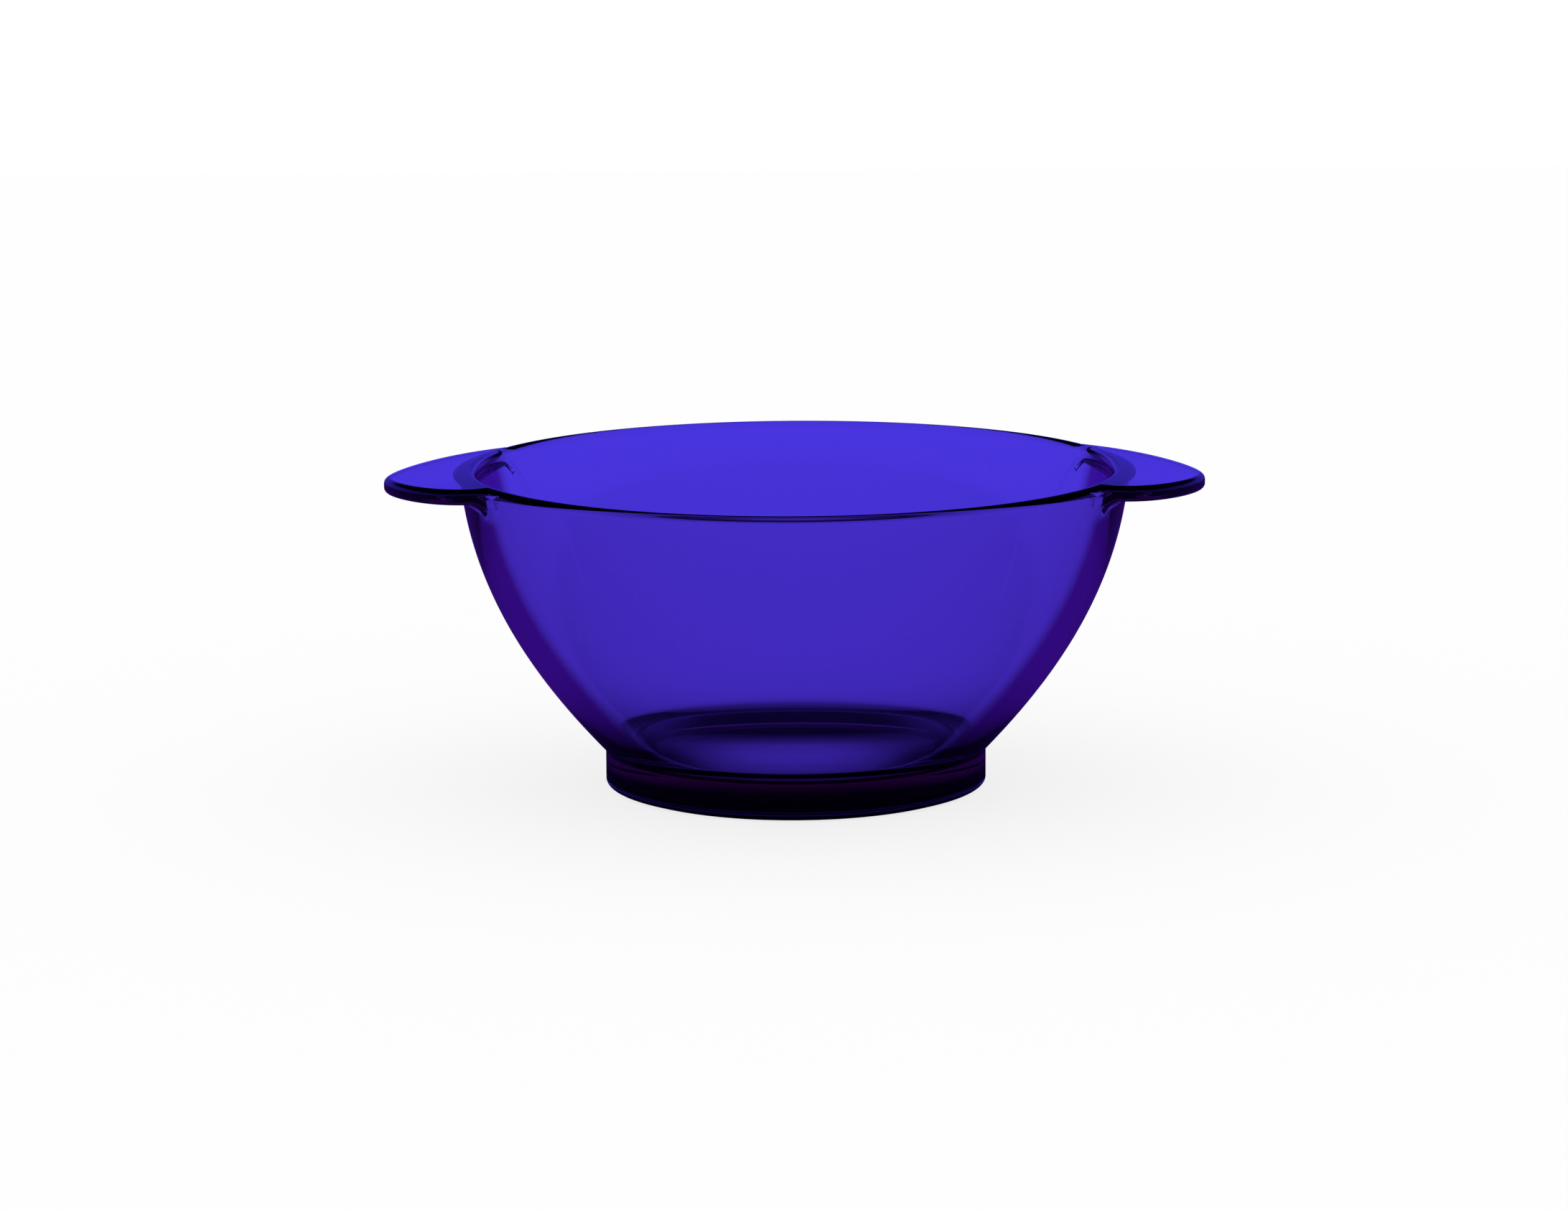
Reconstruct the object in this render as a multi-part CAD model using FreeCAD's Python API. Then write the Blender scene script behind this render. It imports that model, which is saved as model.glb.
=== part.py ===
import FreeCAD, Part
import math
import os

# Hair colour mixing bowl: one pressed glass bowl with a lug handle on each side
# and a low foot, and one rubber ring set into the hollow under the foot.
# Millimetres. +Z is up, z = 0 is the surface that the rubber ring stands on,
# and the two handles point along +X and -X. Radii are measured from the Z axis.

# Overall
bowl_height = 64.4          # standing surface to the top of the rim
ring_proud = 0.6            # how far the rubber ring stands below the glass foot

# Rim: the top edge of the wall, rounded over from side to side
rim_radius = 66.5
rim_thickness = 3.3

# Outer wall: a curve that leaves the neck at about 45 degrees and ends upright at the rim.
# The two belly points pull the curve outwards between those ends.
neck_radius = 38.4
neck_height = 7.9
belly_low_radius = 53.5
belly_low_height = 23.9
belly_high_radius = 64.4
belly_high_height = 41.1

# Inner wall: its own two belly points, measured from the outer ones. They leave 3.5 to 5 mm
# of glass between the two curves, which start at different heights.
wall_low_out = 0.8
wall_low_up = 5.1
wall_high_in = 3.6
wall_high_up = 9.0

# Floor of the bowl: a very shallow dish, then a round corner that runs up into the wall
floor_thickness = 6.2       # on the axis, above the hollow
dish_radius = 368.0
dish_edge_radius = 31.2     # where the dish meets the corner
corner_round = 7.6

# Foot: a low ring of glass around a shallow hollow
foot_radius = 38.2
foot_wall = 1.8
foot_edge_round = 0.8
hollow_edge_round = 0.5
hollow_depth = 1.2
hollow_corner_round = 0.4

# Handles: flat lugs that leave the rim level with it, fall a little towards the tip and are
# blended into the wall underneath
lug_reach = 15.3            # from the rim's outside to the tip
lug_fall = 1.9              # from the rim's top to the top of the tip
lug_tip_pull = 10.7         # half-width over which the tip turns
lug_shoulder_reach = 0.5    # how far beyond the rim the side curve's shoulder pulls
lug_shoulder_half_width = 35.8
lug_root_half_width = 26.0  # where the side curve ends, inside the wall
lug_thickness = 3.1
lug_edge_round = 1.2
lug_blend_out = 1.1         # how far out from the wall the blend under the handle starts
lug_blend_down = 3.8        # how far down the wall it runs
lug_blend_sunk = 0.3        # how far inside the wall it ends, so that their surfaces cross

# Rubber ring
ring_side_gap = 0.3         # between the ring and the side of the hollow
ring_width = 6.6
ring_edge_round = 0.5

# An edge is rounded by no more than this share of the wall that it is on
round_limit = 0.45

# Worked out from the above
foot_bottom = ring_proud
hollow_radius = foot_radius - foot_wall
hollow_top = foot_bottom + hollow_depth
floor_top = hollow_top + floor_thickness
rim_round = rim_thickness / 2
crest_radius = rim_radius - rim_round
rim_side_height = bowl_height - rim_round
lug_tip_radius = rim_radius + lug_reach
lug_slope = lug_fall / (lug_tip_radius - crest_radius)
lug_underside = bowl_height - lug_slope * rim_round - lug_thickness    # beside the wall
lug_blend_low = lug_underside - lug_blend_down

UP = FreeCAD.Vector(0, 0, 1)
ORIGIN = FreeCAD.Vector(0, 0, 0)

# How far towards the corner the two pulls of a smooth curve reach to make it round
QUARTER_PULL = 0.5523


def at(radius, height):
    """A point of a half section, which lies in the XZ plane."""
    return FreeCAD.Vector(radius, 0, height)


def line(start, end):
    return Part.makeLine(at(*start), at(*end))


def smooth_curve(points):
    """A curve that starts at the first point, ends at the last and is pulled by the two between."""
    bezier = Part.BezierCurve()
    bezier.setPoles(points)
    return bezier.toShape()


def on_circle(centre, radius, angle):
    """The point of a circle at an angle in radians, anticlockwise from the outward direction."""
    return centre[0] + radius * math.cos(angle), centre[1] + radius * math.sin(angle)


def arc(centre, radius, first, last):
    """A stretch of a circle, between two angles in radians."""
    points = [on_circle(centre, radius, angle) for angle in (first, (first + last) / 2, last)]
    return Part.Arc(*[at(*point) for point in points]).toShape()


def quarter(centre, radius, start_degrees):
    """A quarter circle that turns anticlockwise from the start angle."""
    start = math.radians(start_degrees)
    return arc(centre, radius, start, start + math.pi / 2)


def revolve(edges):
    """A full turn of a closed half section about the Z axis."""
    outline = Part.Wire(Part.__sortEdges__(edges))
    return Part.Face(outline).revolve(ORIGIN, UP, 360)


def rim_edges():
    centre = (crest_radius, rim_side_height)
    return [quarter(centre, rim_round, 0), quarter(centre, rim_round, 90)]


def inner_edges():
    """The side and floor that the colour touches: dish, corner and wall run smoothly together."""
    down = -math.pi / 2
    dish_centre = (0, floor_top + dish_radius)
    dish_end = down + math.asin(dish_edge_radius / dish_radius)
    corner_centre = on_circle(dish_centre, dish_radius - corner_round, dish_end)
    low = (belly_low_radius + wall_low_out, belly_low_height + wall_low_up)
    high = (belly_high_radius - wall_high_in, belly_high_height + wall_high_up)
    # The corner ends where a straight line to the wall's low belly point just touches it.
    across, above = low[0] - corner_centre[0], low[1] - corner_centre[1]
    corner_end = math.atan2(above, across) - math.acos(corner_round / math.hypot(across, above))
    wall_start = on_circle(corner_centre, corner_round, corner_end)
    wall_end = (crest_radius - rim_round, rim_side_height)
    return [
        arc(dish_centre, dish_radius, down, dish_end),
        arc(corner_centre, corner_round, dish_end, corner_end),
        smooth_curve([at(*point) for point in (wall_start, low, high, wall_end)]),
    ]


def foot_edges():
    """The hollow and the foot around it, from the axis out to the neck."""
    corner = min(hollow_corner_round, round_limit * hollow_depth)
    inside = min(hollow_edge_round, round_limit * foot_wall)
    outside = min(foot_edge_round, round_limit * foot_wall)
    corner_centre = (hollow_radius - corner, hollow_top - corner)
    inside_centre = (hollow_radius + inside, foot_bottom + inside)
    outside_centre = (foot_radius - outside, foot_bottom + outside)
    return [
        line((0, floor_top), (0, hollow_top)),
        line((0, hollow_top), (corner_centre[0], hollow_top)),
        quarter(corner_centre, corner, 0),
        line((hollow_radius, corner_centre[1]), (hollow_radius, inside_centre[1])),
        quarter(inside_centre, inside, 180),
        line((inside_centre[0], foot_bottom), (outside_centre[0], foot_bottom)),
        quarter(outside_centre, outside, 270),
        line((foot_radius, outside_centre[1]), (neck_radius, neck_height)),
    ]


def outer_edge():
    return smooth_curve([
        at(neck_radius, neck_height),
        at(belly_low_radius, belly_low_height),
        at(belly_high_radius, belly_high_height),
        at(rim_radius, rim_side_height),
    ])


def make_plain_bowl():
    return revolve(rim_edges() + inner_edges() + foot_edges() + [outer_edge()])


def outer_radius(height):
    """The outer wall's radius at a height, read from its curve."""
    level = line((0, height), (2 * rim_radius, height))
    return outer_edge().distToShape(level)[1][0][0].x


def handle_top(radius):
    """Height of the handle's top at a distance from the axis."""
    return bowl_height - lug_slope * (radius - crest_radius)


def handle_under(radius):
    """Height of the handle's underside at a distance from the axis."""
    return handle_top(radius) - lug_thickness


def blend_edge():
    """The curve from the handle's underside down into the wall, round the corner between them."""
    wall = outer_radius(lug_underside)
    start = at(wall + lug_blend_out, handle_under(wall + lug_blend_out))
    corner = at(wall, handle_under(wall))
    end = at(outer_radius(lug_blend_low) - lug_blend_sunk, lug_blend_low)
    pulls = [point + (corner - point) * QUARTER_PULL for point in (start, end)]
    return smooth_curve([start, *pulls, end])


def make_handle_stock():
    """A ring with the handle's cross-section all the way round: plate, and blend into the wall.
    Its inner side is a cone that runs inside the wall, where ring and wall fuse."""
    blend_start = outer_radius(lug_underside) + lug_blend_out
    blend_end = outer_radius(lug_blend_low) - lug_blend_sunk
    inside = blend_end - rim_round
    beyond = rim_radius + 2 * lug_reach
    return revolve([
        line((crest_radius, bowl_height), (beyond, handle_top(beyond))),
        line((beyond, handle_top(beyond)), (beyond, handle_under(beyond))),
        line((beyond, handle_under(beyond)), (blend_start, handle_under(blend_start))),
        blend_edge(),
        line((blend_end, lug_blend_low), (inside, lug_blend_low)),
        line((inside, lug_blend_low), (crest_radius, bowl_height)),
    ])


def handle_outline(side):
    """The handle seen from above. Its side curves run on through the wall and close inside it."""
    def spot(x, y):
        return FreeCAD.Vector(side * x, y, lug_blend_low - lug_thickness)

    shoulder = rim_radius + lug_shoulder_reach
    inside_radius = rim_radius - 2 * rim_thickness
    inside = math.sqrt(inside_radius ** 2 - lug_root_half_width ** 2)
    edges = [Part.makeLine(spot(inside, lug_root_half_width), spot(inside, -lug_root_half_width))]
    for sign in (1, -1):
        edges.append(smooth_curve([
            spot(lug_tip_radius, 0),
            spot(lug_tip_radius, sign * lug_tip_pull),
            spot(shoulder, sign * lug_shoulder_half_width),
            spot(inside, sign * lug_root_half_width),
        ]))
    return Part.Face(Part.Wire(Part.__sortEdges__(edges)))


def is_curved_side(face):
    return isinstance(face.Surface, Part.SurfaceOfExtrusion)


def is_inner_side(face):
    """The steep cone inside the wall; the top and the underside are nearly flat cones."""
    return isinstance(face.Surface, Part.Cone) and abs(face.Surface.SemiAngle) < math.pi / 4


def long_edges(handle):
    """The edges that run along the top and the underside of the handle's curved sides."""
    sides = [face for face in handle.Faces if is_curved_side(face)]
    others = [face for face in handle.Faces if not is_curved_side(face) and not is_inner_side(face)]
    return [
        edge for side in sides for edge in side.Edges
        if any(edge.isSame(near) for face in others for near in face.Edges)
    ]


def make_handle(side):
    height = bowl_height - lug_blend_low + 2 * lug_thickness
    handle = make_handle_stock().common(handle_outline(side).extrude(UP * height)).Solids[0]
    edge_round = min(lug_edge_round, round_limit * lug_thickness)
    return handle.makeFillet(edge_round, long_edges(handle))


def make_glass_bowl():
    """One pressing: the bowl with a handle on each side."""
    bowl = make_plain_bowl().fuse([make_handle(1), make_handle(-1)])
    return bowl.removeSplitter().Solids[0]


def make_non_slip_ring():
    """A flat rubber ring that lines the hollow's rim and stands just below the glass foot."""
    outer = hollow_radius - ring_side_gap
    inner = outer - ring_width
    edge = min(ring_edge_round, round_limit * ring_width, round_limit * hollow_top)
    return revolve([
        line((inner + edge, 0), (outer - edge, 0)),
        quarter((outer - edge, edge), edge, 270),
        line((outer, edge), (outer, hollow_top - edge)),
        quarter((outer - edge, hollow_top - edge), edge, 0),
        line((outer - edge, hollow_top), (inner + edge, hollow_top)),
        quarter((inner + edge, hollow_top - edge), edge, 90),
        line((inner, hollow_top - edge), (inner, edge)),
        quarter((inner + edge, edge), edge, 180),
    ])


def main():
    os.makedirs("parts", exist_ok=True)
    pieces = {
        "glass_bowl": make_glass_bowl(),
        "non_slip_ring": make_non_slip_ring(),
    }
    for name, shape in pieces.items():
        shape.exportStep(f"parts/{name}.step")
        print(name, "valid", shape.isValid(), "volume", round(shape.Volume, 1))


main()
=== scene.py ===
# %% [markdown]
# # A violet glass bowl for mixing hair colour
#
# The bowl is one pressing of blue-violet glass: a round wall, a thick floor, a low foot and a
# flat lug on each side to hold it by. A black rubber ring lies in a shallow hollow under the
# foot and keeps the bowl from sliding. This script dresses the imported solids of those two
# pieces: it makes finer meshes in the same place, their glass and rubber, the pale table, the
# light and the camera.
#
# Lengths are written in millimetres, as on a drawing, and turned into metres where a mesh is
# made. +Z is up, z = 0 is the table and the two lugs point along +X and -X.

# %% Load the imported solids
import math

import bmesh
import bpy
import numpy
from mathutils import Matrix, Vector
from mathutils.geometry import interpolate_bezier


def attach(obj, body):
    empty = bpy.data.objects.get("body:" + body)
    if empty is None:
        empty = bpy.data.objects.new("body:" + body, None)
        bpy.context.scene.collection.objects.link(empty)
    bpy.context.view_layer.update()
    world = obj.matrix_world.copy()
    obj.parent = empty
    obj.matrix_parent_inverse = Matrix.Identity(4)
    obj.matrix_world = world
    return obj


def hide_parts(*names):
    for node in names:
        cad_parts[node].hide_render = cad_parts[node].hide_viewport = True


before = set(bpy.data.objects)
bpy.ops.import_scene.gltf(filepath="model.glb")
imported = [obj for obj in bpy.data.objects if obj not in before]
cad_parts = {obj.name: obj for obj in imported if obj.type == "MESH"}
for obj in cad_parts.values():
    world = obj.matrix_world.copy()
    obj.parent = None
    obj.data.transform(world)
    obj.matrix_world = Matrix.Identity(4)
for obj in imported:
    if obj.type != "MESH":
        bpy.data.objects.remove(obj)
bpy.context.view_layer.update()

MM = 0.001
scene = bpy.context.scene
scene.view_settings.view_transform = "Standard"

# %% [markdown]
# ## Camera
#
# The photograph looks down at the bowl by about ten degrees, from a little under a metre away.
# A camera can be turned with three angles. Written as a product of turns they read in the
# order in which a photographer makes them: face the bowl, tip the lens down, level the frame.
# The lens follows from the width of the frame in pixels and the focal length in pixels.

# %% Camera
PHOTO_WIDTH = 2184
FOCAL_LENGTH_PIXELS = 6318.15
SENSOR_WIDTH = 36
CAMERA_PLACE = (0, -894.2, 196.23)
TURN_LEFT = math.radians(0.142)
TIP_DOWN = math.radians(10.153)
LEVEL = math.radians(-0.344)
NEAREST_SEEN = 10


def make_camera():
    data = bpy.data.cameras.new("camera")
    data.sensor_width = SENSOR_WIDTH
    data.lens = SENSOR_WIDTH * FOCAL_LENGTH_PIXELS / PHOTO_WIDTH
    data.clip_start = NEAREST_SEEN * MM
    camera = bpy.data.objects.new("camera", data)
    camera.matrix_world = (
        Matrix.Translation(Vector(CAMERA_PLACE) * MM)
        @ Matrix.Rotation(TURN_LEFT, 4, "Z")
        @ Matrix.Rotation(math.pi / 2 - TIP_DOWN, 4, "X")
        @ Matrix.Rotation(LEVEL, 4, "Z")
    )
    scene.collection.objects.link(camera)
    scene.camera = camera
    return camera


camera = make_camera()
print("lens in mm:", round(camera.data.lens, 2))

# %% [markdown]
# ## Helpers for node trees
#
# Each material is a few nodes joined by wires. A few helpers keep that short. One adds a node
# with its settings and plain values, one joins an output to an input, and one takes either an
# output or a plain value. The rest are nodes that come up more than once: a sum or product, a
# smooth fall from one level to another, a mix of two colours, and a test for mirrored rays.

# %% Node helpers
MIX_SHARE = 0
MIX_FIRST = 6
MIX_SECOND = 7
MIX_COLOUR = 2
WHITE = (1, 1, 1, 1)


def add_node(tree, kind, settings=None, values=None):
    """Add a node, set its options, then set plain values on its input sockets."""
    node = tree.nodes.new(kind)
    for name, value in (settings or {}).items():
        setattr(node, name, value)
    for socket, value in (values or {}).items():
        node.inputs[socket].default_value = value
    return node


def wire(tree, source, target):
    """Join an output to an input; each is given as (node, name or number)."""
    tree.links.new(source[0].outputs[source[1]], target[0].inputs[target[1]])


def feed(tree, value, target):
    """Give an input an output, as (node, name or number), or a plain number or colour."""
    if isinstance(value, tuple) and isinstance(value[0], bpy.types.Node):
        wire(tree, value, target)
    else:
        target[0].inputs[target[1]].default_value = value


def math_node(tree, operation, first, second, clamp=False):
    """A Math node whose two inputs are outputs or plain numbers."""
    node = add_node(tree, "ShaderNodeMath", {"operation": operation, "use_clamp": clamp})
    feed(tree, first, (node, 0))
    feed(tree, second, (node, 1))
    return node, 0


def mix_colours(tree, share, first, second):
    """The first colour where the share is 0, the second where it is 1."""
    node = add_node(tree, "ShaderNodeMix", {"data_type": "RGBA"})
    wire(tree, share, (node, MIX_SHARE))
    feed(tree, first, (node, MIX_FIRST))
    feed(tree, second, (node, MIX_SECOND))
    return node, MIX_COLOUR


def smooth_fall(tree, value, start, end, before, after):
    """A value that stays at one level, then turns smoothly to another between start and end."""
    limits = {"From Min": start, "From Max": end, "To Min": before, "To Max": after}
    node = add_node(tree, "ShaderNodeMapRange", {"interpolation_type": "SMOOTHSTEP"}, limits)
    wire(tree, value, (node, "Value"))
    return node, 0


def empty_tree(owner):
    owner.use_nodes = True
    owner.node_tree.nodes.clear()
    return owner.node_tree


def in_metres(lengths):
    return [length * MM for length in lengths]


def gloss_only(tree, path):
    """1 for a mirrored ray. A ray that passed through clear glass also counts as glossy, so
    that is taken off."""
    glossy, through = (path, "Is Glossy Ray"), (path, "Is Transmission Ray")
    return math_node(tree, "SUBTRACT", glossy, through, clamp=True)


# %% [markdown]
# ## Light
#
# Clear glass has almost no look of its own: it shows what stands behind it. The photograph is
# a bright-field one: a lit white sheet behind the bowl and dark room above that sheet. Glass
# that sends a ray out level or a little upwards is bright, and glass that bends it up past the
# top of the sheet is black. That dark is what draws the rim, the lugs and the corners of the
# floor. So the world answers each kind of ray in its own way. The camera sees plain white, a
# ray that came through glass sees the sheet up to its top edge, and everything else is lit by
# even white light. The picture is violet all over, its reflections too, so a mirrored ray sees
# the sheet in violet and a little higher, which keeps the tops of the lugs bright.

# %% World
SHEET_TOP = math.sin(math.radians(9.3))
SHEET_GONE = math.sin(math.radians(13.3))
GLOSS_TOP = math.sin(math.radians(12))
GLOSS_GONE = math.sin(math.radians(20))
SHEET_IN_GLOSS = (0.070, 0.0396, 0.832, 1)
DARK_ROOM = 0.02


def make_world():
    world = bpy.data.worlds.new("studio")
    tree = empty_tree(world)
    path = add_node(tree, "ShaderNodeLightPath")
    place = add_node(tree, "ShaderNodeTexCoord")
    axes = add_node(tree, "ShaderNodeSeparateXYZ")
    wire(tree, (place, "Generated"), (axes, 0))
    sheet = smooth_fall(tree, (axes, "Z"), SHEET_TOP, SHEET_GONE, 1.0, DARK_ROOM)
    gloss_sheet = smooth_fall(tree, (axes, "Z"), GLOSS_TOP, GLOSS_GONE, 1.0, DARK_ROOM)
    through = math_node(tree, "MULTIPLY", sheet, (path, "Is Transmission Ray"))
    plain = math_node(tree, "ADD", through, (path, "Is Diffuse Ray"))
    plain = math_node(tree, "ADD", plain, (path, "Is Camera Ray"))
    light = add_node(tree, "ShaderNodeBackground", values={"Color": WHITE})
    wire(tree, plain, (light, "Strength"))
    mirrored = add_node(tree, "ShaderNodeBackground", values={"Color": SHEET_IN_GLOSS})
    gloss = math_node(tree, "MULTIPLY", gloss_only(tree, path), gloss_sheet)
    wire(tree, gloss, (mirrored, "Strength"))
    both = add_node(tree, "ShaderNodeAddShader")
    wire(tree, (light, 0), (both, 0))
    wire(tree, (mirrored, 0), (both, 1))
    wire(tree, (both, 0), (add_node(tree, "ShaderNodeOutputWorld"), "Surface"))
    return world


scene.world = make_world()
print("world nodes:", len(scene.world.node_tree.nodes))

# %% [markdown]
# ## Table
#
# The bowl stands on plain white paper. One large square is enough, a hair below z = 0 so that
# the rubber and the paper don't share a plane. The paper is a matt white that takes the
# bowl's soft shadow, mixed with a white glow for the camera so that it stays white in the
# picture. Seen through the glass it is bright too, but with painted shade close to the foot, in
# place of the bowl keeping the light off it, and a painted patch of light under the middle, in
# place of light through the clear floor. Mirrored in the glass it is a painted violet reflection
# like the sheet, with painted shade close to the foot.

# %% Table
TABLE_SIZE = 3000
TABLE_HEIGHT = -0.02
PAPER_COLOUR = (0.95, 0.95, 0.95, 1)
GLOW_TO_CAMERA = 0.8
# paper seen through the glass: painted shade at the foot, painted light under the middle
PAPER_THROUGH_GLASS = 0.88
PAPER_IN_PAINTED_SHADE = 0.12
FOOT_RADIUS = 38.2
SHADE_WIDTH = 18
PAINTED_LIGHT_UNDER_BOWL = 0.55
MIDDLE_FADES = (6, 26)
# painted reflection of the paper: violet, with painted shade close to the foot
PAINTED_REFLECTION_COLOUR = (0.033, 0.004, 0.19, 1)
GLOSS_BRIGHTENS = (30, 80)


def brightness_under_glass(tree, radius):
    """Paper through the glass: 1 far out, painted shade at the foot, painted light in the middle.
    """
    # painted shade that fades out away from the foot
    beyond = math_node(tree, "SUBTRACT", radius, FOOT_RADIUS * MM)
    beyond = math_node(tree, "DIVIDE", beyond, -SHADE_WIDTH * MM)
    shade = math_node(tree, "EXPONENT", beyond, 0)
    shade = math_node(tree, "MINIMUM", shade, 1.0)
    shade = math_node(tree, "MULTIPLY", shade, PAPER_IN_PAINTED_SHADE - 1)
    shade = math_node(tree, "ADD", shade, 1.0)
    middle = smooth_fall(tree, radius, *in_metres(MIDDLE_FADES), PAINTED_LIGHT_UNDER_BOWL, 0.0)
    return math_node(tree, "ADD", shade, middle)


def make_paper():
    paper = bpy.data.materials.new("white_paper")
    tree = empty_tree(paper)
    path = add_node(tree, "ShaderNodeLightPath")
    place = add_node(tree, "ShaderNodeTexCoord")
    distance = add_node(tree, "ShaderNodeVectorMath", {"operation": "LENGTH"})
    wire(tree, (place, "Object"), (distance, 0))
    radius = (distance, "Value")
    through = math_node(tree, "MULTIPLY", (path, "Is Transmission Ray"), PAPER_THROUGH_GLASS)
    through = math_node(tree, "MULTIPLY", through, brightness_under_glass(tree, radius))
    # painted reflection: mirrored rays see the paper violet, with painted shade close to the foot
    gloss = gloss_only(tree, path)
    seen = smooth_fall(tree, radius, *in_metres(GLOSS_BRIGHTENS), 0.0, 1.0)
    strength = math_node(tree, "ADD", through, math_node(tree, "MULTIPLY", gloss, seen))
    strength = math_node(tree, "ADD", strength, (path, "Is Camera Ray"))
    colour = mix_colours(tree, gloss, WHITE, PAINTED_REFLECTION_COLOUR)
    glowing = math_node(tree, "MULTIPLY", (path, "Is Camera Ray"), GLOW_TO_CAMERA)
    glowing = math_node(tree, "ADD", glowing, (path, "Is Transmission Ray"))
    glowing = math_node(tree, "ADD", glowing, (path, "Is Glossy Ray"), clamp=True)
    matt = add_node(tree, "ShaderNodeBsdfDiffuse", values={"Color": PAPER_COLOUR})
    glow = add_node(tree, "ShaderNodeEmission")
    both = add_node(tree, "ShaderNodeMixShader")
    wire(tree, strength, (glow, "Strength"))
    wire(tree, colour, (glow, "Color"))
    wire(tree, glowing, (both, 0))
    wire(tree, (matt, 0), (both, 1))
    wire(tree, (glow, 0), (both, 2))
    wire(tree, (both, 0), (add_node(tree, "ShaderNodeOutputMaterial"), "Surface"))
    return paper


def make_object(name, bm, material):
    """Turn a bmesh into a smooth shaded object at the origin."""
    mesh = bpy.data.meshes.new(name)
    bm.to_mesh(mesh)
    bm.free()
    mesh.shade_smooth()
    mesh.materials.append(material)
    made = bpy.data.objects.new(name, mesh)
    scene.collection.objects.link(made)
    return made


def make_table():
    bm = bmesh.new()
    bmesh.ops.create_grid(bm, x_segments=1, y_segments=1, size=TABLE_SIZE * MM / 2)
    bmesh.ops.translate(bm, verts=bm.verts, vec=(0, 0, TABLE_HEIGHT * MM))
    return make_object("table", bm, make_paper())


table = make_table()
print("table half size in metres:", table.dimensions.x / 2)

# %% [markdown]
# ## The glass section
#
# A pressed bowl is round, so one half section turned about the Z axis gives the whole wall.
# The section could be drawn as a curve object, but a chain of vertices in a bmesh can be spun
# at once and its corners can be bevelled. The foot has sharp corners that get small rounds.
# The two sides of the wall are smooth curves, each drawn between two ends with two points that
# pull it outwards, and the floor is a very shallow dish with a round corner.

# %% Sizes of the glass
HEIGHT = 64.4
RIM_RADIUS = 66.5
RIM_ROUND = 1.65
CREST_RADIUS = RIM_RADIUS - RIM_ROUND
RIM_SIDE_HEIGHT = HEIGHT - RIM_ROUND
NECK = (38.4, 7.9)
OUTER_PULL = ((53.5, 23.9), (64.4, 41.1))
INNER_PULL = ((54.3, 29.0), (60.8, 50.1))
FOOT_BOTTOM = 0.6
HOLLOW_TOP = 1.8
HOLLOW_RADIUS = 36.4
FLOOR_TOP = 8.0
DISH_RADIUS = 368
DISH_EDGE_RADIUS = 31.2
CORNER_ROUND = 7.6

# %% Curves of the half section
def on_circle(centre, radius, angle):
    return centre[0] + radius * math.cos(angle), centre[1] + radius * math.sin(angle)


def arc(centre, radius, first, last, steps):
    """Points along a circle between two angles in radians."""
    return [
        on_circle(centre, radius, first + (last - first) * step / steps)
        for step in range(steps + 1)
    ]


def smooth_curve(start, pulls, end, steps):
    """Points along a curve from start to end that the two pulls draw towards them."""
    knots = [Vector(point).to_3d() for point in (start, *pulls, end)]
    return [(point.x, point.y) for point in interpolate_bezier(*knots, steps + 1)]


def inner_side(steps_rim=12, steps_wall=50, steps_corner=20, steps_dish=12):
    """The side that the colour touches, from the rim's crest down to the axis."""
    dish_centre = (0, FLOOR_TOP + DISH_RADIUS)
    down = -math.pi / 2
    dish_end = down + math.asin(DISH_EDGE_RADIUS / DISH_RADIUS)
    corner_centre = on_circle(dish_centre, DISH_RADIUS - CORNER_ROUND, dish_end)
    low = INNER_PULL[0]
    across, above = low[0] - corner_centre[0], low[1] - corner_centre[1]
    corner_end = math.atan2(above, across) - math.acos(CORNER_ROUND / math.hypot(across, above))
    corner = arc(corner_centre, CORNER_ROUND, corner_end, dish_end, steps_corner)
    dish = arc(dish_centre, DISH_RADIUS, dish_end, down, steps_dish)
    rim_centre = (CREST_RADIUS, RIM_SIDE_HEIGHT)
    rim = arc(rim_centre, RIM_ROUND, math.pi / 2, math.pi, steps_rim)
    wall = smooth_curve(rim[-1], (INNER_PULL[1], low), corner[0], steps_wall)
    return rim + wall[1:] + corner[1:] + dish[1:-1] + [(0, FLOOR_TOP)]


def outer_side(steps):
    """The outside of the wall, from the neck up to the rim."""
    return smooth_curve(NECK, OUTER_PULL, (RIM_RADIUS, RIM_SIDE_HEIGHT), steps)


inner_points = inner_side()
print("inner side points:", len(inner_points), "from", inner_points[0], "to", inner_points[-1])

# %% [markdown]
# ## The lugs
#
# Each lug is a flat tongue about as thick as the rim. It leaves the rim level with it and
# falls nearly two millimetres to its tip. It could be a second body joined with a boolean, but
# that leaves a hard seam and thin triangles, and clear glass shows every fault of its mesh.
# Instead the rim's outer side gets extra rows of vertices. At each angle round the bowl a short
# path says how the section runs there: out along the lug's top, round its edge, back along its
# underside and down a hollow blend into the wall. First comes the lug's outline from above,
# which says how far out that path goes at each angle.

# %% Where the lug's edge is
LUG_TIP = 81.79  # a hair inside the solid's tip
LUG_TIP_PULL = 10.7
LUG_SHOULDER = (67.0, 35.8)
LUG_ROOT = (53.9, 26.0)
LUG_THICKNESS = 3.1
LUG_FALL = 1.9
LUG_SLOPE = LUG_FALL / (LUG_TIP - CREST_RADIUS)
LUG_EDGE_ROUND = 1.2
LUG_BEGINS = 1.5  # reach over which the round rim turns into the lug's edge
LUG_UNDERSIDE = HEIGHT - LUG_SLOPE * RIM_ROUND - LUG_THICKNESS
BLEND_OUT = 1.1
BLEND_DOWN = 3.8
BLEND_LOW = LUG_UNDERSIDE - BLEND_DOWN
BLEND_SUNK = 0.3  # how far inside the wall the blend would end, so that the two cross
LOOKUP_STEPS = 400
OUTLINE_STEPS = 200

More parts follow.
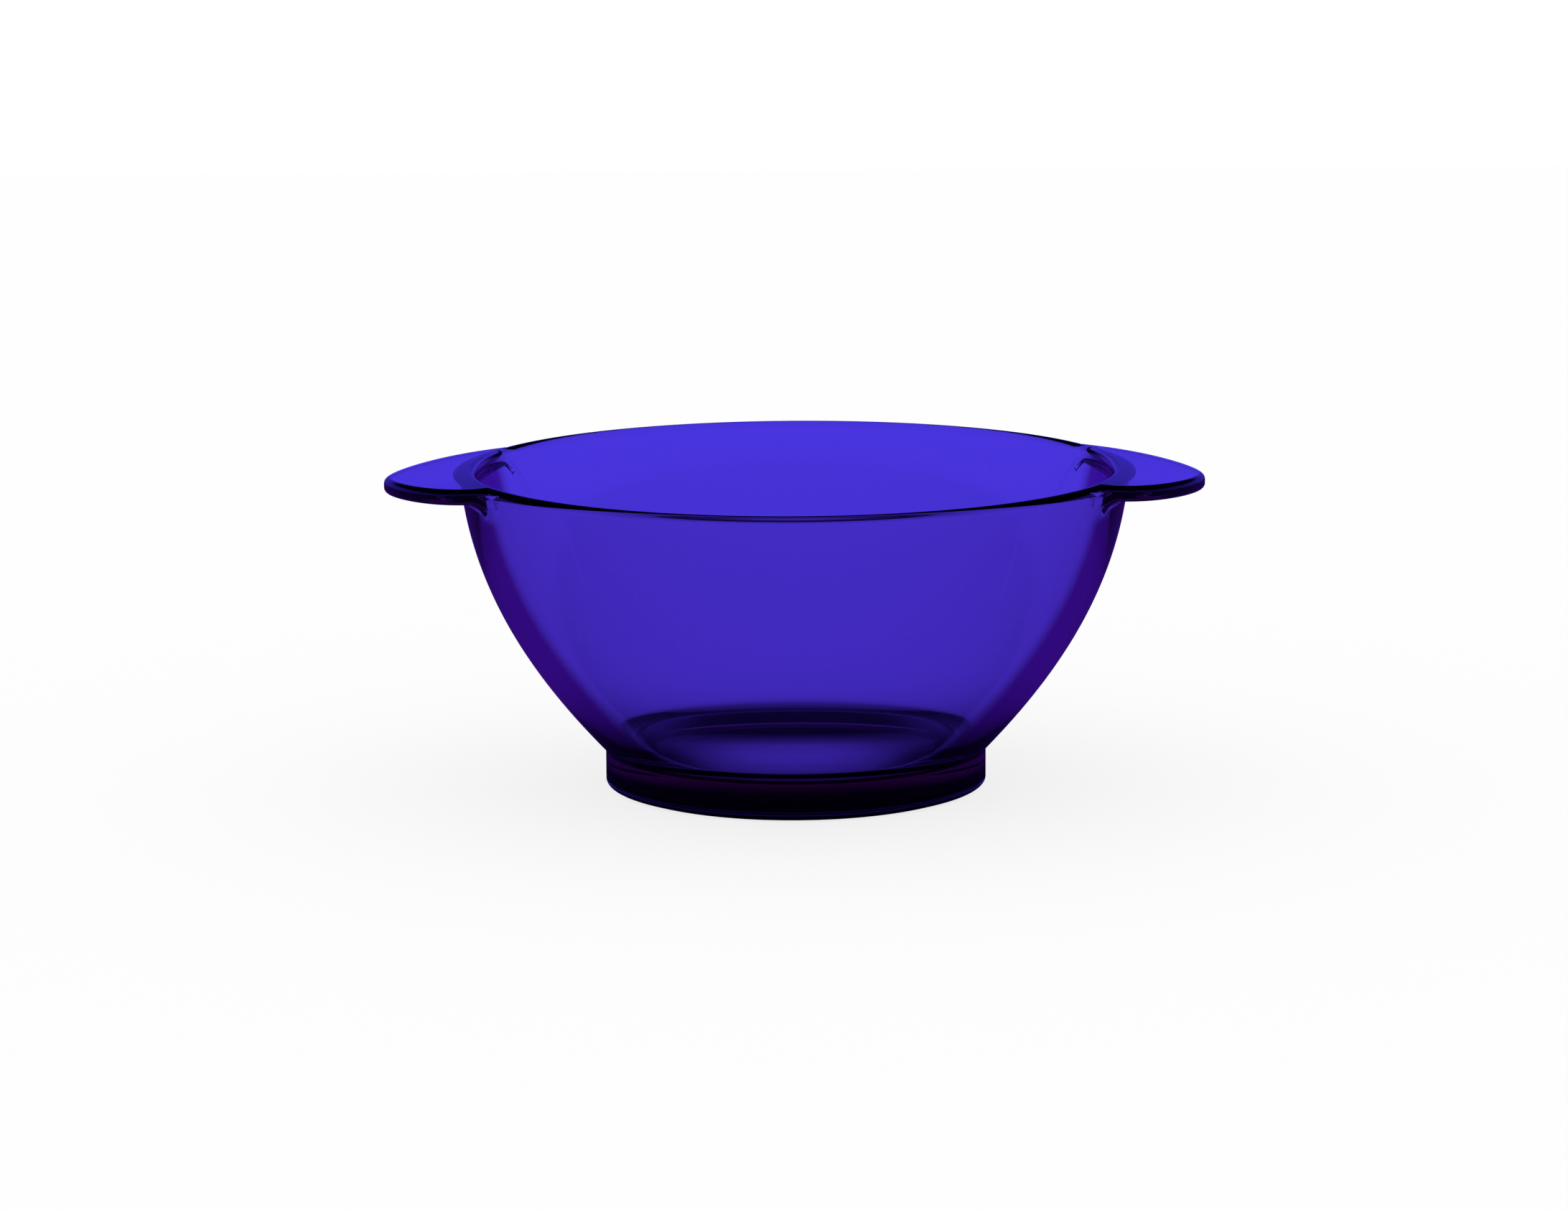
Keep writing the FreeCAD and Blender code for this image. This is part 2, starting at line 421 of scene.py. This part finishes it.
wall_radii, wall_heights = numpy.array(outer_side(LOOKUP_STEPS)).T
pulls = ((LUG_TIP, LUG_TIP_PULL), LUG_SHOULDER)
outline = smooth_curve((LUG_TIP, 0), pulls, LUG_ROOT, OUTLINE_STEPS)
outline_angles = [math.atan2(y, x) for x, y in outline]
outline_radii = [math.hypot(x, y) for x, y in outline]


def lug_edge(angle):
    """Distance from the axis to the lug's edge, at an angle from the line through the lugs."""
    folded = abs(math.asin(math.sin(angle)))
    return float(numpy.interp(folded, outline_angles, outline_radii))


def wall_radius(height):
    return float(numpy.interp(height, wall_heights, wall_radii))


for degrees in (0, 10, 20, 25, 30):
    print("lug edge at", degrees, "degrees:", round(lug_edge(math.radians(degrees)), 2))

# %% [markdown]
# Each stretch of a path has its own fixed number of rows, so that no row crosses a rounding at
# a slant. The points on a flat stretch are even but for one near each end, which keeps the
# smooth shading of the rounding off the flat. A curve drawn with pulls of 0.5523 of the way to
# the corner is nearly a quarter circle. Where there is no lug, the same rows lie on the round
# rim and the wall.

# %% Points along lines and rounded corners
ROUND_PULL = 0.5523
SUPPORT = 0.2  # distance of the extra point from each end
MOST_SUPPORT = 0.3  # the same as a share of a short line


def straight(start, end, count):
    """Points after the start of a straight line, with one close to each of its ends."""
    start, end = Vector(start), Vector(end)
    close = min(SUPPORT / max((end - start).length, SUPPORT), MOST_SUPPORT)
    shares = [close + (1 - 2 * close) * step / (count - 2) for step in range(count - 1)] + [1.0]
    return [tuple(start.lerp(end, share)) for share in shares]


def rounded(first, corner, last, steps):
    """A nearly circular curve from the first point to the last, round the corner."""
    corner = Vector(corner)
    pulls = [Vector(end) + ROUND_PULL * (corner - Vector(end)) for end in (first, last)]
    return smooth_curve(first, pulls, last, steps)[1:]


def evenly(path, count):
    """Points at equal distances along a path, after its first."""
    points = numpy.array(path)
    along = numpy.concatenate([[0], numpy.cumsum(numpy.hypot(*numpy.diff(points, axis=0).T))])
    wanted = numpy.linspace(0, along[-1], count + 1)[1:]
    return list(zip(*(numpy.interp(wanted, along, column).tolist() for column in points.T)))


def cut(path, distance):
    """A path without its first stretch of a given length."""
    for number, (here, there) in enumerate(zip(path, path[1:])):
        length = math.dist(here, there)
        if length > distance:
            return [tuple(Vector(here).lerp(there, distance / length))] + path[number + 1:]
        distance -= length
    return path[-1:]


# %% How the section runs at one angle
TOP_ROWS = 12
EDGE_ROWS = 12
SIDE_ROWS = 8
UNDERSIDE_ROWS = 12
BLEND_ROWS = 16
ROWS_BELOW = SIDE_ROWS + EDGE_ROWS + UNDERSIDE_ROWS + BLEND_ROWS
CURVE_STEPS = 24
WALL_STEPS = 40
LEAST_LUG = 0.05  # a lug that sticks out of the wall by less is left out
LEAST_GAP = 0.01  # points of the blend nearer than this to the lug's edge are left out


def lug_top(radius):
    return HEIGHT - LUG_SLOPE * (radius - CREST_RADIUS)


def lug_blend():
    """The hollow curve from the underside of the lug down into the wall."""
    wall = wall_radius(LUG_UNDERSIDE)
    start = (wall + BLEND_OUT, lug_top(wall + BLEND_OUT) - LUG_THICKNESS)
    corner = (wall, lug_top(wall) - LUG_THICKNESS)
    end = (wall_radius(BLEND_LOW) - BLEND_SUNK, BLEND_LOW)
    return [start] + rounded(start, corner, end, CURVE_STEPS)


def down_the_wall(top):
    """Points on the outside of the wall, from a height down to the end of the blend."""
    heights = [top + (BLEND_LOW - top) * step / WALL_STEPS for step in range(WALL_STEPS + 1)]
    return [(wall_radius(height), height) for height in heights]


def under_lug(edge):
    """The lug's sharp lower corner, then its underside and the blend."""
    blend = lug_blend()
    if edge > blend[0][0]:
        return [(edge, lug_top(edge) - LUG_THICKNESS)] + blend
    radii, heights = numpy.array(blend[::-1]).T
    corner = (edge, float(numpy.interp(edge, radii, heights)))
    return [corner] + [point for point in blend if point[0] < edge - LEAST_GAP]


def lower_rows(edge, side_top):
    """The lug's side below its upper rounding, its lower rounding, its underside, its blend."""
    below = under_lug(edge)
    length = sum(math.dist(*pair) for pair in zip(below, below[1:]))
    turn = min(LUG_EDGE_ROUND, length / 2)
    side_end = (edge, below[0][1] + turn)
    rest = cut(below, turn)
    rows = straight(side_top, side_end, SIDE_ROWS)
    rows += rounded(side_end, below[0], rest[0], EDGE_ROWS)
    if len(rest) > CURVE_STEPS + 1:
        return rows + straight(rest[0], rest[1], UNDERSIDE_ROWS) + evenly(rest[1:], BLEND_ROWS)
    return rows + evenly(rest, UNDERSIDE_ROWS + BLEND_ROWS)


def rim_rows(edge):
    """A section of the rim, or of the lug where it reaches beyond the rim, in fixed rows."""
    outside = max(edge, RIM_RADIUS)
    share = min(1.0, (outside - RIM_RADIUS) / LUG_BEGINS)
    turn = RIM_ROUND + (LUG_EDGE_ROUND - RIM_ROUND) * share
    crest = Vector((CREST_RADIUS, HEIGHT))
    corner = Vector((outside, HEIGHT + (lug_top(outside) - HEIGHT) * share))
    side_top = (outside, corner.y - turn)
    if edge <= wall_radius(BLEND_LOW) + LEAST_LUG:
        quarter = [tuple(crest)] + rounded(crest, corner, side_top, CURVE_STEPS)
        upper = [quarter[0]] + evenly(quarter, TOP_ROWS + EDGE_ROWS)
        return upper + evenly(down_the_wall(side_top[1]), ROWS_BELOW)
    start = corner + (crest - corner).normalized() * turn
    rows = [tuple(crest)] + straight(crest, start, TOP_ROWS)
    rows += rounded(start, corner, side_top, EDGE_ROWS)
    rows += lower_rows(edge, side_top)
    return [(max(r, wall_radius(z)) if z < side_top[1] else r, z) for r, z in rows]


plain_rows = rim_rows(0)
for degrees in (0, 12, 24, 25, 30):
    edge = lug_edge(math.radians(degrees))
    print("at", degrees, "degrees: edge", round(edge, 2), "rows", len(rim_rows(edge)))

# %% [markdown]
# ## Spinning the bowl
#
# The chain of vertices is spun once round in small steps. Each row of the rim carries its
# number in a layer, and the spin copies it, so that afterwards each vertex knows where on its
# path it belongs. The last step merges with the first, and the points on the axis are spun
# onto themselves, so doubles are merged before the faces are turned outwards: a face can't
# tell its outside until the skin is closed. Then the rim's rows are moved onto their paths, and
# bowl and lugs are one unbroken skin.

# %% Glass mesh
COLUMNS = 288
WALL_POINTS = 64
FOOT_SUPPORT = 0.8
BELOW_BLEND = 1  # room between the wall's last point and the lowest row of the blend
MERGE_DISTANCE = 0.0001

# Each corner's radius and number of steps.
HOLLOW_CORNER = (0.4, 5)
HOLLOW_EDGE = (0.5, 6)
FOOT_EDGE = (0.8, 8)
NECK_EDGE = (0.5, 5)


def chain(bm, points):
    """Vertices in the XZ plane with an edge from each to the next."""
    verts = [bm.verts.new((r * MM, 0, z * MM)) for r, z in points]
    for pair in zip(verts, verts[1:]):
        bm.edges.new(pair)
    return verts


def round_corner(bm, vert, radius, segments):
    """Replace a corner of a chain by a small arc."""
    bmesh.ops.bevel(
        bm,
        geom=[vert],
        offset=radius * MM,
        segments=segments,
        profile=0.5,
        affect="VERTICES",
        material=-1,
    )


def spin_round(bm, steps):
    bmesh.ops.spin(
        bm,
        geom=bm.verts[:] + bm.edges[:],
        cent=(0, 0, 0),
        axis=(0, 0, 1),
        angle=2 * math.pi,
        steps=steps,
        use_merge=True,
    )
    bmesh.ops.remove_doubles(bm, verts=bm.verts, dist=MERGE_DISTANCE * MM)
    bmesh.ops.recalc_face_normals(bm, faces=bm.faces)


def glass_section(bm):
    """The whole half section as one chain, with each rim row's number in a layer."""
    row = bm.verts.layers.int.new("rim_row")
    hollow = [(0, HOLLOW_TOP), (HOLLOW_RADIUS - FOOT_SUPPORT, HOLLOW_TOP)]
    hollow += [(HOLLOW_RADIUS, HOLLOW_TOP), (HOLLOW_RADIUS, FOOT_BOTTOM)]
    foot = [(FOOT_RADIUS, FOOT_BOTTOM), (FOOT_RADIUS, NECK[1] - FOOT_SUPPORT)]
    below = hollow + foot
    wall = [point for point in outer_side(WALL_POINTS) if point[1] < BLEND_LOW - BELOW_BLEND]
    rows = plain_rows[::-1]
    verts = chain(bm, below + wall + rows + inner_points[1:])
    first = len(below) + len(wall)
    for number, vert in enumerate(verts[first:first + len(rows)]):
        vert[row] = len(rows) - number
    corner, edge = verts[len(hollow) - 2:len(hollow)]
    outer_edge, neck = verts[len(hollow)], verts[len(below)]
    round_corner(bm, corner, *HOLLOW_CORNER)
    round_corner(bm, edge, *HOLLOW_EDGE)
    round_corner(bm, outer_edge, *FOOT_EDGE)
    round_corner(bm, neck, *NECK_EDGE)
    return row


def move_rows(bm, row):
    """Move each vertex of the rim to its place on the path at its angle round the bowl."""
    paths = {}
    step = 2 * math.pi / COLUMNS
    for vert in bm.verts:
        if vert[row] > 0:
            angle = step * round(math.atan2(vert.co.y, vert.co.x) / step)
            if angle not in paths:
                paths[angle] = rim_rows(lug_edge(angle))
            radius, height = paths[angle][vert[row] - 1]
            vert.co = Vector((radius * math.cos(angle), radius * math.sin(angle), height)) * MM


def make_glass(material):
    bm = bmesh.new()
    row = glass_section(bm)
    spin_round(bm, COLUMNS)
    move_rows(bm, row)
    bmesh.ops.recalc_face_normals(bm, faces=bm.faces)
    print("glass open edges:", sum(not edge.is_manifold for edge in bm.edges))
    print("glass volume in cubic mm:", round(bm.calc_volume(signed=True) / MM**3))
    return make_object("glass_bowl_pressing", bm, material)


# %% [markdown]
# ## Violet glass
#
# The melt is coloured, so the glass takes colour out of the light all along its path: thick
# glass is darker than thin glass. A Volume Absorption does that. The photograph is flatter than
# absorption alone would make it, with one violet for most of the bowl. So part of the colour is
# a tint where light leaves the glass for the camera. Rays are traced back from the camera, so
# that is the first surface that a ray passes. The wall is darker where it turns away from the
# eye, as if light from dim sides of the room arrived there: that is painted shade, a deeper
# tint there. Layer Weight finds those places, and object coordinates keep the painted shade to
# the wall and off the lugs and the floor. The shader lets through the square root of its colour
# at each surface, so tints are squared. A pressed surface is never perfectly even: a faint,
# slow ripple bends what is seen through it.

# %% Glass material
GLASS_BEND = 1.5
TINT = (0.0825, 0.0505, 1.0)
# painted shade: the share of the tint kept where the wall turns away from the eye
SLANT_SHADE_SHARE = (0.58, 0.13, 0.46)  # what is left of the tint where the wall is aslant
SLANT_SHADE_BEGINS = (0.56, 0.65)
# limits of the painted shade on the wall
WALL_LOW = (7, 12)
WALL_HIGH = (57, 59.5)
INSIDE_RADIUS = (63.4, 64.4)
ABSORBED_PER_METRE = (26, 60, 50)
RIPPLE_SIZE = 12
RIPPLE_DEPTH = 0.002
WITHOUT_Z = (1, 1, 0)
BETWEEN_NONE_AND_ONE = 0.5


def on_the_wall(tree, place):
    """Where the painted shade goes: 1 on the wall, inside and out, falling to 0 on the lugs, the
    floor and the foot.
    """
    axes = add_node(tree, "ShaderNodeSeparateXYZ")
    flat = add_node(tree, "ShaderNodeVectorMath", {"operation": "MULTIPLY"}, {1: WITHOUT_Z})
    radius = add_node(tree, "ShaderNodeVectorMath", {"operation": "LENGTH"})
    wire(tree, (place, "Object"), (axes, 0))
    wire(tree, (place, "Object"), (flat, 0))
    wire(tree, (flat, 0), (radius, 0))
    above = smooth_fall(tree, (axes, "Z"), *in_metres(WALL_LOW), 0.0, 1.0)
    below = smooth_fall(tree, (axes, "Z"), *in_metres(WALL_HIGH), 1.0, 0.0)
    inside = smooth_fall(tree, (radius, "Value"), *in_metres(INSIDE_RADIUS), 1.0, 0.0)
    return math_node(tree, "MULTIPLY", above, math_node(tree, "MAXIMUM", below, inside))


def add_tint_and_painted_shade(tree, place, body):
    """Tint the light at the first surface that a ray passes, with painted shade where the wall is
    aslant.
    """
    path = add_node(tree, "ShaderNodeLightPath")
    passages = (path, "Transmission Depth")
    first_surface = math_node(tree, "LESS_THAN", passages, BETWEEN_NONE_AND_ONE)
    slant = add_node(tree, "ShaderNodeLayerWeight")
    # painted shade: a deeper tint where the wall turns away from the eye
    band = smooth_fall(tree, (slant, "Facing"), *SLANT_SHADE_BEGINS, 0.0, 1.0)
    band = math_node(tree, "MULTIPLY", band, on_the_wall(tree, place))
    straight_on = [share**2 for share in TINT]
    shaded_tint = [(share * less)**2 for share, less in zip(TINT, SLANT_SHADE_SHARE)]
    tint_and_painted_shade = mix_colours(tree, band, (*straight_on, 1), (*shaded_tint, 1))
    wire(tree, mix_colours(tree, first_surface, WHITE, tint_and_painted_shade), (body, "Base Color"))


def add_absorption(tree, out):
    """Take light away along its path inside the glass, green most of all and red least."""
    densest = max(ABSORBED_PER_METRE)
    kept = [1 - share / densest for share in ABSORBED_PER_METRE]
    depth = add_node(
        tree, "ShaderNodeVolumeAbsorption", values={"Color": (*kept, 1), "Density": densest}
    )
    wire(tree, (depth, 0), (out, "Volume"))


def add_ripple(tree, place, body):
    ripple = add_node(
        tree, "ShaderNodeTexNoise", values={"Scale": 1 / (RIPPLE_SIZE * MM), "Detail": 1.0}
    )
    bump = add_node(
        tree, "ShaderNodeBump", values={"Strength": 1.0, "Distance": RIPPLE_DEPTH * MM}
    )
    wire(tree, (place, "Object"), (ripple, "Vector"))
    wire(tree, (ripple, 0), (bump, "Height"))
    wire(tree, (bump, 0), (body, "Normal"))


def make_violet_glass():
    glass = bpy.data.materials.new("violet_glass_clear")
    tree = empty_tree(glass)
    body = add_node(
        tree,
        "ShaderNodeBsdfPrincipled",
        values={"Transmission Weight": 1.0, "Roughness": 0.0, "IOR": GLASS_BEND},
    )
    place = add_node(tree, "ShaderNodeTexCoord")
    out = add_node(tree, "ShaderNodeOutputMaterial")
    add_tint_and_painted_shade(tree, place, body)
    add_ripple(tree, place, body)
    add_absorption(tree, out)
    wire(tree, (body, 0), (out, "Surface"))
    return glass


glass_bowl = make_glass(make_violet_glass())
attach(glass_bowl, "root")
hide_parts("glass_bowl")

# %% [markdown]
# ## The rubber ring
#
# The ring is a flat band of black rubber, a little thicker than the hollow is deep, so that it
# and not the glass touches the table. It is spun from a rectangle with rounded corners. It
# lies so close to the glass that no air stays between them, so its top is let into the glass
# by a hair: a gap would mirror the light like silver, and two surfaces at one height would
# flicker. Rubber is near black and nearly matt, with a fine grain in its tone and its surface.

# %% Ring mesh
RING_LET_IN = 0.03  # depth of the ring's top in the glass
RING_OUTER = 36.1
RING_INNER = 29.5
RING_TOP = HOLLOW_TOP + RING_LET_IN
RING_EDGE = (0.5, 6)  # radius and number of steps


def make_ring(material):
    bm = bmesh.new()
    corners = [(RING_INNER, 0), (RING_OUTER, 0), (RING_OUTER, RING_TOP), (RING_INNER, RING_TOP)]
    verts = chain(bm, corners)
    bm.edges.new((verts[-1], verts[0]))
    for vert in verts:
        round_corner(bm, vert, *RING_EDGE)
    spin_round(bm, COLUMNS // 2)
    print("ring open edges:", sum(not edge.is_manifold for edge in bm.edges))
    return make_object("non_slip_ring_rubber", bm, material)


# %% Rubber material
GRAINS_PER_METRE = 3000
GRAIN_DETAIL = 3.0
GRAIN_DEPTH = 0.02
GRAIN_STRENGTH = 0.4
DARKEST_TONE = 0.003
LIGHTEST_TONE = 0.008
RUBBER_ROUGHNESS = 0.95
RUBBER_SHINE = 0.1


def make_black_rubber():
    rubber = bpy.data.materials.new("black_rubber_matt")
    tree = empty_tree(rubber)
    place = add_node(tree, "ShaderNodeTexCoord")
    grain = add_node(
        tree, "ShaderNodeTexNoise", values={"Scale": GRAINS_PER_METRE, "Detail": GRAIN_DETAIL}
    )
    tones = {"To Min": DARKEST_TONE, "To Max": LIGHTEST_TONE}
    tone = add_node(tree, "ShaderNodeMapRange", values=tones)
    colour = add_node(tree, "ShaderNodeCombineColor")
    relief = {"Strength": GRAIN_STRENGTH, "Distance": GRAIN_DEPTH * MM}
    bump = add_node(tree, "ShaderNodeBump", values=relief)
    surface = {"Roughness": RUBBER_ROUGHNESS, "Specular IOR Level": RUBBER_SHINE}
    body = add_node(tree, "ShaderNodeBsdfPrincipled", values=surface)
    wire(tree, (place, "Object"), (grain, "Vector"))
    wire(tree, (grain, 0), (tone, "Value"))
    for channel in range(3):
        wire(tree, (tone, 0), (colour, channel))
    wire(tree, (colour, 0), (body, "Base Color"))
    wire(tree, (grain, 0), (bump, "Height"))
    wire(tree, (bump, 0), (body, "Normal"))
    wire(tree, (body, 0), (add_node(tree, "ShaderNodeOutputMaterial"), "Surface"))
    return rubber


ring = make_ring(make_black_rubber())
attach(ring, "root")
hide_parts("non_slip_ring")
